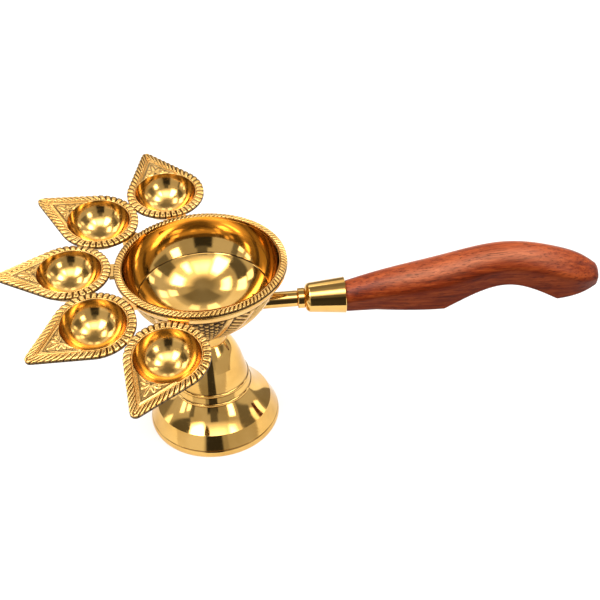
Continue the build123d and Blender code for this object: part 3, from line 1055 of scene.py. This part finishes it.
    def rings(self) -> RingStack:
        """All rings of the dish from under the cup, round the edge and down into the cup.

        Returns:
            Rings in the leaf's own frame.
        """
        edge = self.outline()
        count = 2 * self.half_columns
        index = np.arange(count)
        half_way = np.where(index <= self.half_columns, index, count - index) / self.half_columns
        number = round(float(way_along(edge)[-1]) / self.strand_mm)
        lean = self.strand_lean * (1 - soften(half_way, *self.lean_blend))
        sphere = (self.cup_opening**2 + self.cup_depth**2) / (2 * self.cup_depth)
        up = sphere - self.cup_depth
        inner_ring = self.inset(edge, self.rope_width + self.bead_width)
        bearing = np.arctan2(inner_ring[:, 1], inner_ring[:, 0])
        circle = np.stack([np.cos(bearing), np.sin(bearing)], axis=1)
        shell = sphere + self.cup_wall
        stack = RingStack(count)
        for turn in np.linspace(NEAR_POLE, acos((up + self.thickness) / shell), self.under_rows):
            stack.add(circle * shell * sin(turn), up - shell * cos(turn), self.under_shade)
        outer, nicked = self.inset(edge, 0.0), self.inset(edge, self.scallop)
        # The side faces get painted shade, a little deeper in the nicks of the edge.
        stack.add(self.inset(edge, self.sole_inset), -self.thickness, self.side_shade)
        stack.add(outer, -self.thickness + self.sole_edge, self.side_shade)
        edge_cut = (1 - strands(half_way * number + lean))[:, None]
        nick = (nicked - outer) * edge_cut
        stack.add(outer + nick, -self.thickness * 0.5, self.edge_shade + self.nick_shade * edge_cut[:, 0])
        for across in np.linspace(1, 0, self.rope_rows):
            phase = half_way * number + lean * across
            flat = self.inset(edge, self.rope_width * (1 - across)) + nick * across**4
            height = -self.rope_relief * (1 - rope(phase, across)) - self.rope_fall * across**3
            stack.add(flat, height, rope_oxide(phase))
        for place in np.linspace(0.1, 1, self.bead_rows):
            swell = sin(pi * place) ** BEAD_ROUND
            flat = self.inset(edge, self.rope_width + self.bead_width * place)
            height = -self.panel_drop + self.bead_relief * swell
            stack.add(flat, height, self.bead_shade * (1 - swell) ** 1.5)
        lip = circle * (self.cup_opening + self.lip_gap)
        wide = soften(np.hypot(*(inner_ring - lip).T), *self.panel_blend)
        for share in np.linspace(0.02, 0.97, self.panel_rows):
            flat = inner_ring + (lip - inner_ring) * share
            relief, dark = self.panel_relief(flat[:, 0], flat[:, 1])
            stack.add(flat, -self.panel_drop + self.line_relief * relief * wide, dark * wide)
        stack.add(circle * self.cup_opening, -self.panel_drop + self.lip_height, self.lip_shade)
        start = acos((up + self.panel_drop) / sphere)
        for turn in np.linspace(start, NEAR_POLE, self.cup_rows):
            # Painted shade inside the cup, darkest at its lip.
            tarnish = self.lip_painted_shade * (turn / start) ** 6
            stack.add(circle * sphere * sin(turn), up - sphere * cos(turn), tarnish)
        return stack

    def place(self, local: np.ndarray) -> np.ndarray:
        """Move points from the leaf's own frame to the lamp's frame, as the leaf was set.

        Args:
            local: Points whose first axis runs to the tip and whose third axis runs up out of the cup.

        Returns:
            The points in the lamp's frame.
        """
        own = self.setting
        back_edge = self.rim_radius + self.rim_gap
        step = 2 * asin((2 * self.back_radius + self.neighbour_gap) / (2 * (back_edge + self.back_radius)))
        bearing = pi + (own.number - self.middle_number) * step
        outward = Vector((cos(bearing), sin(bearing), 0))
        onward = Vector((-sin(bearing), cos(bearing), 0))
        up = Vector((0, 0, 1))
        normal = (up - outward * tan(radians(own.lift)) + onward * tan(radians(own.fall))).normalized()
        slope = (outward - normal * outward.dot(normal)).normalized()
        centre = outward * back_edge + up * (self.rim_top + own.rise) + slope * self.back_radius
        heading = bearing + radians(own.toe)
        ahead = Vector((cos(heading), sin(heading), 0))
        pointing = (ahead - normal * ahead.dot(normal)).normalized()
        axes = np.array([pointing, normal.cross(pointing), normal])
        return np.array(centre) + local @ axes

    def build(self, finishes: Finishes) -> None:
        """Make the dish: chased brass with a buffed cup.

        Args:
            finishes: The lamp's materials.
        """
        stack = self.rings()
        points, shade = self.place(stack.skin()), stack.shade()
        split = len(points) - self.cup_rows
        number = self.setting.number
        make_piece(f"leaf_{number}_chased_dish", points[:split + 1], Body.HEAD, finishes.chased,
                   (f"leaf_lamp_{number}",), {Layer.SHADE: shade[:split + 1]}, self.crease)
        make_piece(f"leaf_{number}_buffed_cup", points[split:], Body.HEAD, finishes.satin,
                   layers={Layer.SHADE: shade[split:]}, crease=self.crease)


@dataclass
class LeafSpray:
    """The five leaves, each set by hand, and the brazed pieces that join them to the bowl and each other."""

    settings: tuple[LeafSetting, ...] = (
        LeafSetting(1, 2.1, 5.8, 0.1, 0.3),
        LeafSetting(2, 7.4, 6.4, 3.1, 0.8),
        LeafSetting(3, 0.2, 0.5, 2.7, 0.6),
        LeafSetting(4, -5.0, -5.8, 7.6, -0.6),
        LeafSetting(5, -10.0, -10.6, 2.7, -2.1),
    )
    brazed: tuple[str, ...] = ("leaf_web", "braze_bead")

    def build(self, finishes: Finishes) -> None:
        """Make the leaves and dress the webs and brazed joints.

        Args:
            finishes: The lamp's materials.
        """
        for setting in self.settings:
            LeafLamp(setting).build(finishes)
        for name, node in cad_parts.items():
            if name.startswith(self.brazed):
                dress(node, finishes.chased)


@dataclass(frozen=True)
class GripStation:
    """A cross section of the wooden grip, measured from the ferrule's mouth and from the rod's axis."""

    along: float
    half: float
    below: float
    side: float
    top: float
    corner: float


@dataclass
class SideHandle:
    """Brass rod, collar and ferrule with the shaped wooden grip. Sizes are in millimetres."""

    axis_height: float = 73.5
    rod_radius: float = 4.1
    rod_start: float = 24.0
    rod_reach: float = 46.6
    spigot_radius: float = 3.175
    spigot_end: float = 59.3
    spigot_gap: float = 0.08
    chamfer: float = 0.3
    collar_radius: float = 5.2
    collar_length: float = 3.6
    collar_round: float = 0.6
    collar_bulge: float = 0.17
    ferrule_length: float = 20.5
    ferrule_front: float = 7.6
    ferrule_back: float = 9.2
    ferrule_round: float = 3.2
    ferrule_wall: float = 1.2
    front_wall: float = 4.0
    tenon_gap: float = 0.04
    rod_columns: int = 96
    ferrule_columns: int = 128
    stations: tuple[GripStation, ...] = (
        GripStation(0.0, 7.5, 7.5, 0.3, 7.5, 7.2),
        GripStation(18.0, 9.0, 7.8, 3.4, 12.4, 4.5),
        GripStation(49.0, 10.8, 7.6, 7.9, 18.7, 1.6),
        GripStation(80.0, 9.8, 7.2, 14.4, 24.1, 1.6),
        GripStation(107.0, 10.8, 6.9, 8.2, 18.7, 1.6),
        GripStation(121.0, 9.2, 4.6, 3.4, 12.4, 1.6),
        GripStation(129.4, 4.8, 2.4, 1.4, 5.6, 1.6),
    )
    tip_round: float = 2.0
    groove_start: float = 49.0
    groove_peak: Pair = (82.0, 3.8)
    groove_end: float = 108.5
    groove_edge: float = -7.8
    groove_near: float = 1.2
    grip_rows: int = 150
    corner_share: float = 0.45
    corner_least: float = 0.05
    tip_least: float = 0.02
    crown_power: float = 1.65
    undercut: float = 0.86
    # Painted shade on the grip: its flanks below the ridge and a dark line just above the ridge.
    flank_shade: float = 0.3
    flank_blend: Pair = (-0.3, 0.9)
    ridge_shade: float = 0.5
    ridge_blend: Pair = (-0.4, 0.4)
    ridge_width: float = 2.2
    # Painted sheen along the crown's shoulder: its height, spread, strength, and where it starts and ends
    # along the grip.
    sheen_height: float = 0.72
    sheen_spread: float = 0.2
    sheen_strength: float = 0.6
    sheen_start: Pair = (6.0, 34.0)
    sheen_end: Pair = (84.0, 122.0)
    grip_crease: float = 24.0

    @property
    def ferrule_start(self) -> float:
        """Where the ferrule meets the collar."""
        return self.rod_reach + self.collar_length

    @property
    def grip_start(self) -> float:
        """Where the wood leaves the ferrule."""
        return self.ferrule_start + self.ferrule_length

    def along_x(self, profile: np.ndarray, columns: int) -> np.ndarray:
        """Turn a profile of (distance along X, radius) about the rod's axis."""
        rings = turned(profile[:, ::-1], columns)
        return np.stack([rings[..., 2], rings[..., 1], self.axis_height + rings[..., 0]], axis=-1)

    def build_rod(self, finishes: Finishes) -> None:
        """Make the rod with its spigot.

        Args:
            finishes: The lamp's materials.
        """
        start, end, tip, edge = self.rod_start, self.rod_reach, self.spigot_end, self.chamfer
        radius, thin = self.rod_radius, self.spigot_radius
        rod = np.concatenate([
            straight((start, NEAR_AXIS), (start, radius), 2),
            straight((start, radius), (end - edge, radius), 12),
            straight((end - edge, radius), (end, radius - edge), 3),
            straight((end, radius - edge), (end, thin), 2),
            straight((end, thin), (tip, thin), 4),
            straight((tip, thin), (tip, NEAR_AXIS), 2),
        ])
        make_piece("handle_rod_turned", self.along_x(rod, self.rod_columns), Body.HEAD,
                   finishes.buffed, ("handle_rod",), crease=30)

    def build_collar(self, finishes: Finishes) -> None:
        """Make the collar between rod and ferrule.

        Args:
            finishes: The lamp's materials.
        """
        first, last, radius = self.rod_reach, self.ferrule_start, self.collar_radius
        bore, bend, edge = self.spigot_radius + self.spigot_gap, self.collar_round, self.chamfer
        collar = np.concatenate([
            straight((last, bore), (first, bore), 2),
            straight((first, bore), (first, radius - bend), 2),
            arc_points((first, radius - bend), -self.collar_bulge, (first + bend, radius), 6),
            straight((first + bend, radius), (last - edge, radius), 3),
            straight((last - edge, radius), (last, radius - edge), 2),
            straight((last, radius - edge), (last, bore), 2),
        ])
        make_piece("handle_collar_turned", self.along_x(collar, self.rod_columns), Body.COLLAR,
                   finishes.buffed, ("handle_collar",), crease=30)

    def build_ferrule(self, finishes: Finishes) -> None:
        """Make the ferrule.

        Args:
            finishes: The lamp's materials.
        """
        start, mouth, edge = self.ferrule_start, self.grip_start, self.chamfer
        front, back, bend = self.ferrule_front, self.ferrule_back, self.ferrule_round
        bore, floor, wall = self.spigot_radius + self.spigot_gap, start + self.front_wall, self.ferrule_wall
        ferrule = np.concatenate([
            straight((floor, bore), (start, bore), 2),
            straight((start, bore), (start, front - bend), 2),
            arc_points((start, front - bend), -bend * (1 - cos(pi / 4)), (start + bend, front), 12),
            straight((start + bend, front), (mouth - edge, back), 12),
            straight((mouth - edge, back), (mouth, back - edge), 3),
            straight((mouth, back - edge), (mouth, back - wall), 2),
            straight((mouth, back - wall), (floor, front - wall), 3),
            straight((floor, front - wall), (floor, bore), 2),
        ])
        make_piece("ferrule_turned", self.along_x(ferrule, self.ferrule_columns), Body.GRIP,
                   finishes.buffed, ("ferrule",), crease=24)

    def station_at(self, along: np.ndarray, read: Callable[[GripStation], float]) -> np.ndarray:
        """Read a size of the stations at any distance along the grip.

        Args:
            along: Distances from the ferrule's mouth.
            read: Gives the size at a station.

        Returns:
            The size at each distance.
        """
        fine = curve_through([(station.along, read(station)) for station in self.stations], 600)
        return np.interp(along, fine[:, 0], fine[:, 1])

    def grip_rings(self) -> tuple[np.ndarray, np.ndarray, np.ndarray]:
        """Cross sections of the shaped wood with its finger groove.

        Returns:
            Rings of points, and the heights of the ridge and of the crest above the rod's axis at each ring.
        """
        last = self.stations[-1].along
        near = np.linspace(-self.groove_near, self.groove_near, 9)
        along = np.unique(np.concatenate([
            np.linspace(0, last, self.grip_rows), self.groove_start + near, self.groove_end + near]))
        half = self.station_at(along, lambda station: station.half)
        below = -self.station_at(along, lambda station: station.below)
        side = self.station_at(along, lambda station: station.side)
        top = self.station_at(along, lambda station: station.top)
        corner = self.station_at(along, lambda station: station.corner)
        groove = curve_through([(self.groove_start, self.groove_edge), self.groove_peak,
                                (self.groove_end, self.groove_edge)], 80)
        lowest = below.min()
        hollow = np.interp(along, groove[:, 0], groove[:, 1], left=lowest, right=lowest)
        floor = np.maximum(below, hollow)
        corner = np.minimum(corner, (side - floor) * self.corner_share)
        corner = np.maximum(corner, self.corner_least)
        past = ((along - (last - self.tip_round)) / self.tip_round).clip(0)
        ease = np.sqrt(np.clip(1 - past**2, self.tip_least, 1))
        turn = np.linspace(0, pi / 2, 9)
        crown = np.linspace(0, pi, 41)
        power = 2 / self.crown_power
        out = np.sign(np.cos(crown)) * np.abs(np.cos(crown)) ** power
        over = np.abs(np.sin(crown)) ** power
        mirror = np.array([-1, 1])
        rings = []
        for x, w, b, s, t, c, scale in zip(self.grip_start + along, half, floor, side, top, corner, ease):
            reach = w * self.undercut - c
            right = np.stack([reach + c * np.sin(turn), b + c - c * np.cos(turn)], axis=1)
            flank = np.linspace((reach + c, b + c), (w, s), 7)[1:-1]
            arch = np.stack([w * out, s + (t - s) * over], axis=1)
            sole = np.linspace((-reach, b), (reach, b), 8)[1:-1]
            outline = np.concatenate([sole, right, flank, arch, flank[::-1] * mirror, right[::-1] * mirror])
            middle = np.array([0.0, (b + t) / 2])
            outline = middle + (outline - middle) * scale
            rings.append(np.column_stack([np.full(len(outline), x), outline + (0.0, self.axis_height)]))
        return np.stack(rings), side, top

    def by_bearing(self, rings: np.ndarray, guide: np.ndarray) -> np.ndarray:
        """Put the points of rings in order round the rod's axis, as those of a guide ring lie."""
        return rings[:, np.argsort(np.arctan2(guide[:, 2] - self.axis_height, guide[:, 1]))]

    def build_grip(self, finishes: Finishes) -> None:
        """Make the wooden grip with its tenon in the ferrule.

        Args:
            finishes: The lamp's materials.
        """
        rings, side, top = self.grip_rings()
        columns = rings.shape[1]
        end = np.broadcast_to(rings[-1].mean(axis=0), (1, columns, 3))
        inset = self.ferrule_wall + self.tenon_gap
        tenon_start = self.ferrule_start + self.front_wall + self.tenon_gap
        tenon = self.along_x(np.array([
            (tenon_start, NEAR_AXIS), (tenon_start, self.ferrule_front - inset),
            (self.grip_start, self.ferrule_back - inset)]), columns)
        skin = np.concatenate([self.by_bearing(tenon, tenon[1]), self.by_bearing(rings, rings[0]), end])
        ridge, crest = (
            np.concatenate([np.full(len(tenon), level[0]), level, level[-1:]])[:, None] + self.axis_height
            for level in (side, top))
        above = skin[..., 2] - ridge
        # Painted shade on the flanks, plus a painted shadow line just above the ridge.
        shade = self.flank_shade * (1 - soften(above, *self.flank_blend))
        line = soften(above, *self.ridge_blend) * hump(above, 0.0, self.ridge_width)
        shade = shade + self.ridge_shade * line
        share = above / np.maximum(crest - ridge, 1.0)
        reached = skin[..., 0] - self.grip_start
        # Painted sheen: a paler band high on the crown's shoulder, fading in and out along the grip.
        painted_sheen = self.sheen_strength * hump(share, self.sheen_height, self.sheen_spread)
        painted_sheen = painted_sheen * soften(reached, *self.sheen_start) * (1 - soften(reached, *self.sheen_end))
        make_piece("wooden_grip_shaped", skin, Body.GRIP, finishes.wood, ("wooden_grip",),
                   {Layer.SHADE: shade, Layer.PAINTED_SHEEN: painted_sheen}, self.grip_crease)

    def build(self, finishes: Finishes) -> None:
        """Make the handle.

        Args:
            finishes: The lamp's materials.
        """
        self.build_rod(finishes)
        self.build_collar(finishes)
        self.build_ferrule(finishes)
        self.build_grip(finishes)


@dataclass(frozen=True)
class RoomPatch:
    """A bright or dark patch of the studio round the lamp: azimuth, elevation and half sizes in degrees."""

    name: str
    azimuth: float
    elevation: float
    half_width: float
    half_height: float
    edge: float
    light: float


@dataclass
class Studio:
    """White paper floor, a room of soft boxes and dark screens, and the camera at the photograph's angle."""

    focal_pixels: float = 1246.5
    yaw: float = -3.44
    pitch: float = 38.23
    roll: float = 2.36
    camera_mm: tuple[float, float, float] = (18.27, -492.89, 461.2)
    floor_size: float = 6.0
    paper_front: float = -0.105
    paper_roll: float = 0.03
    room_tint: str = "#FFFCF7"
    wall_light: float = 0.66
    patches: tuple[RoomPatch, ...] = (
        RoomPatch("lower_room", 0, -45, 180, 44, 3, 0.42),
        RoomPatch("ceiling", 0, 90, 180, 10, 12, 0.36),
        RoomPatch("far_wall", 90, 10, 66, 20, 6, 0.3),
        RoomPatch("far_paper", 90, 41, 62, 8, 5, 1.15),
        RoomPatch("far_ceiling", 85, 71, 42, 7, 10, 0.26),
        RoomPatch("right_wall", -72, 22, 10, 18, 6, 0.48),
        RoomPatch("low_right_floor", -58, -15, 24, 10, 6, 0.78),
        RoomPatch("low_left_wall", -146, 1, 32, 7, 4, 1.0),
        RoomPatch("low_right_wall", -40, 1, 30, 7, 4, 0.64),
        RoomPatch("overhead_net", -72, 60, 72, 8, 14, 1.8),
        RoomPatch("overhead_core", -90, 61, 16, 2, 12, 4.8),
        RoomPatch("left_soft_box", -134, 54, 8, 6, 12, 12.5),
        RoomPatch("front_soft_box", -52, 56, 3, 3, 9, 10.0),
        RoomPatch("right_soft_box", -8, 59, 11, 3, 8, 10.5),
        RoomPatch("back_soft_box", 167, 61, 15, 2, 7, 7.0),
        RoomPatch("left_screen", -170, 38, 19, 7, 4, 0.14),
        RoomPatch("left_near_screen", -147, 17, 4, 10, 3, 0.2),
        RoomPatch("left_window", -171, 14, 3.5, 4.5, 2.5, 3.6),
        RoomPatch("left_near_window", -156, 13, 3.5, 4.5, 2.5, 3.2),
        RoomPatch("right_window", -49, 26, 5, 5, 4, 8.0),
        RoomPatch("right_screen", -20, 32, 12, 12, 4, 0.2),
        RoomPatch("right_back_gap", -2, 30, 3, 4, 3, 2.4),
        RoomPatch("right_back_window", 14, 21, 3, 5, 3, 3.0),
        RoomPatch("right_back_lamp", 32, 39, 4, 2.5, 4, 3.5),
        RoomPatch("right_high_lamp", 29, 52, 5, 3, 4, 3.5),
        RoomPatch("far_right_lamp", 48, 34, 4, 2, 3, 2.6),
        RoomPatch("far_lamp", 77, 52, 5, 2, 4, 2.2),
        RoomPatch("far_left_lamp", 104, 51, 6, 3, 4, 2.6),
        RoomPatch("back_window", 157, 40, 8, 4, 4, 5.0),
        RoomPatch("back_low_window", 165, 27, 5, 3.5, 3, 3.2),
        RoomPatch("camera_stand", -95, 14, 12, 12, 4, 0.04),
        RoomPatch("camera", -93, 33, 7, 6, 4, 0.14),
        RoomPatch("camera_legs", -92, -22, 10, 24, 3, 0.05),
    )
    key_place: tuple[float, float, float] = (0.1, 0.2, 1.3)
    key_size: float = 0.5
    key_watts: float = 4.0

    def build_camera(self) -> None:
        """Stand the camera where the photograph was taken."""
        yaw, pitch, roll = radians(self.yaw), radians(self.pitch), radians(self.roll)
        forward = Vector((-sin(yaw) * cos(pitch), cos(yaw) * cos(pitch), -sin(pitch)))
        level = Vector((cos(yaw), sin(yaw), 0.0))
        down = forward.cross(level)
        right = level * cos(roll) + down * sin(roll)
        below = down * cos(roll) - level * sin(roll)
        data = bpy.data.cameras.new("photo_camera")
        data.sensor_width = SENSOR_MM
        data.lens = self.focal_pixels / PHOTO_PIXELS * SENSOR_MM
        camera = bpy.data.objects.new("photo_camera", data)
        axes = Matrix((right, -below, -forward)).transposed()
        camera.matrix_world = Matrix.Translation(Vector(self.camera_mm) * MM) @ axes.to_4x4()
        bpy.context.scene.collection.objects.link(camera)
        bpy.context.scene.camera = camera

    def build_floor(self) -> None:
        """Lay the paper, rolled down over the table's edge in front of the picture."""
        half, roll = self.floor_size / 2, self.paper_roll
        turn = np.linspace(0, pi / 2, 9)
        rolled = zip(self.paper_front - roll * np.sin(turn), roll * (np.cos(turn) - 1))
        profile = [(half, 0.0), *rolled, (self.paper_front - roll, -half)]
        points = [(x, y, z) for y, z in profile for x in (half, -half)]
        faces = [(i, i + 1, i + 3, i + 2) for i in range(0, len(points) - 2, 2)]
        mesh = bpy.data.meshes.new("paper_floor")
        mesh.from_pydata(points, [], faces)
        mesh.shade_smooth()
        mesh.set_sharp_from_angle(angle=radians(30))
        mesh.materials.append(StudioPaper().build())
        floor = bpy.data.objects.new("paper_floor", mesh)
        bpy.context.scene.collection.objects.link(floor)

    def build_key(self) -> None:
        """Hang the soft key lamp over the lamp. It is kept out of the brass, which shows the room."""
        data = bpy.data.lights.new("key_softbox", "AREA")
        data.size = self.key_size
        data.energy = self.key_watts
        lamp = bpy.data.objects.new("key_softbox", data)
        lamp.location = self.key_place
        lamp.rotation_euler = (-Vector(self.key_place)).to_track_quat("-Z", "Y").to_euler()
        lamp.visible_glossy = False
        bpy.context.scene.collection.objects.link(lamp)

    def build_room(self) -> None:
        """Light the room: walls, soft boxes, windows and dark screens, as patches round the lamp."""
        world = bpy.data.worlds.new("studio_room")
        world.use_nodes = True
        tree = world.node_tree
        tree.nodes.clear()
        sky = add_node(tree, "TexCoord").outputs["Generated"]
        way = add_node(tree, "SeparateXYZ", {"Vector": sky}).outputs
        bearing = add_node(tree, "Math", {0: way["Y"], 1: way["X"]}, operation="ARCTAN2").outputs["Value"]
        rise = add_node(tree, "Math", {0: way["Z"]}, operation="ARCSINE").outputs["Value"]
        light: Any = self.wall_light
        for patch in self.patches:
            turn = add_node(tree, "Math", {0: bearing, 1: radians(patch.azimuth)}, operation="SUBTRACT")
            turn = add_node(tree, "Math", {0: turn.outputs["Value"], 1: pi, 2: -pi}, operation="WRAP")
            lift = add_node(tree, "Math", {0: rise, 1: radians(patch.elevation)}, operation="SUBTRACT")
            inside = []
            for offset, half in ((turn, patch.half_width), (lift, patch.half_height)):
                away = add_node(tree, "Math", {0: offset.outputs["Value"]}, operation="ABSOLUTE")
                inside.append(add_node(tree, "MapRange", {
                    "Value": away.outputs["Value"], "From Min": radians(half + patch.edge),
                    "From Max": radians(half)}, interpolation_type="SMOOTHSTEP").outputs["Result"])
            mask = add_node(tree, "Math", {0: inside[0], 1: inside[1]}, operation="MULTIPLY")
            light = add_node(tree, "Mix", {
                FACTOR: mask.outputs["Value"], NUMBER_A: light, NUMBER_B: patch.light}).outputs[NUMBER_OUT]
        room = add_node(tree, "Background", {"Color": linear(self.room_tint), "Strength": light})
        add_node(tree, "OutputWorld", {"Surface": room.outputs["Background"]})
        bpy.context.scene.world = world

    def build(self) -> None:
        """Set up the studio."""
        self.build_camera()
        self.build_floor()
        self.build_room()
        self.build_key()
        bpy.context.scene.view_settings.view_transform = "Standard"


def main() -> None:
    """Build the lamp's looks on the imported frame, then the studio."""
    logging.basicConfig(level=logging.INFO, format="%(name)s %(message)s")
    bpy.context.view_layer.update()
    finishes = Finishes(
        buffed=BuffedBrass().build(), satin=BuffedBrass("satin_buffed_brass", roughness=0.13).build(),
        chased=ChasedBrass().build(), wood=LacqueredRosewood().build())
    BellStand().build(finishes)
    OilBowl().build(finishes)
    LeafSpray().build(finishes)
    SideHandle().build(finishes)
    for name in ("foot_stud", "grip_insert"):
        dress(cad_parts[name], finishes.buffed)
    Studio().build()


if __name__ == "__main__":
    main()
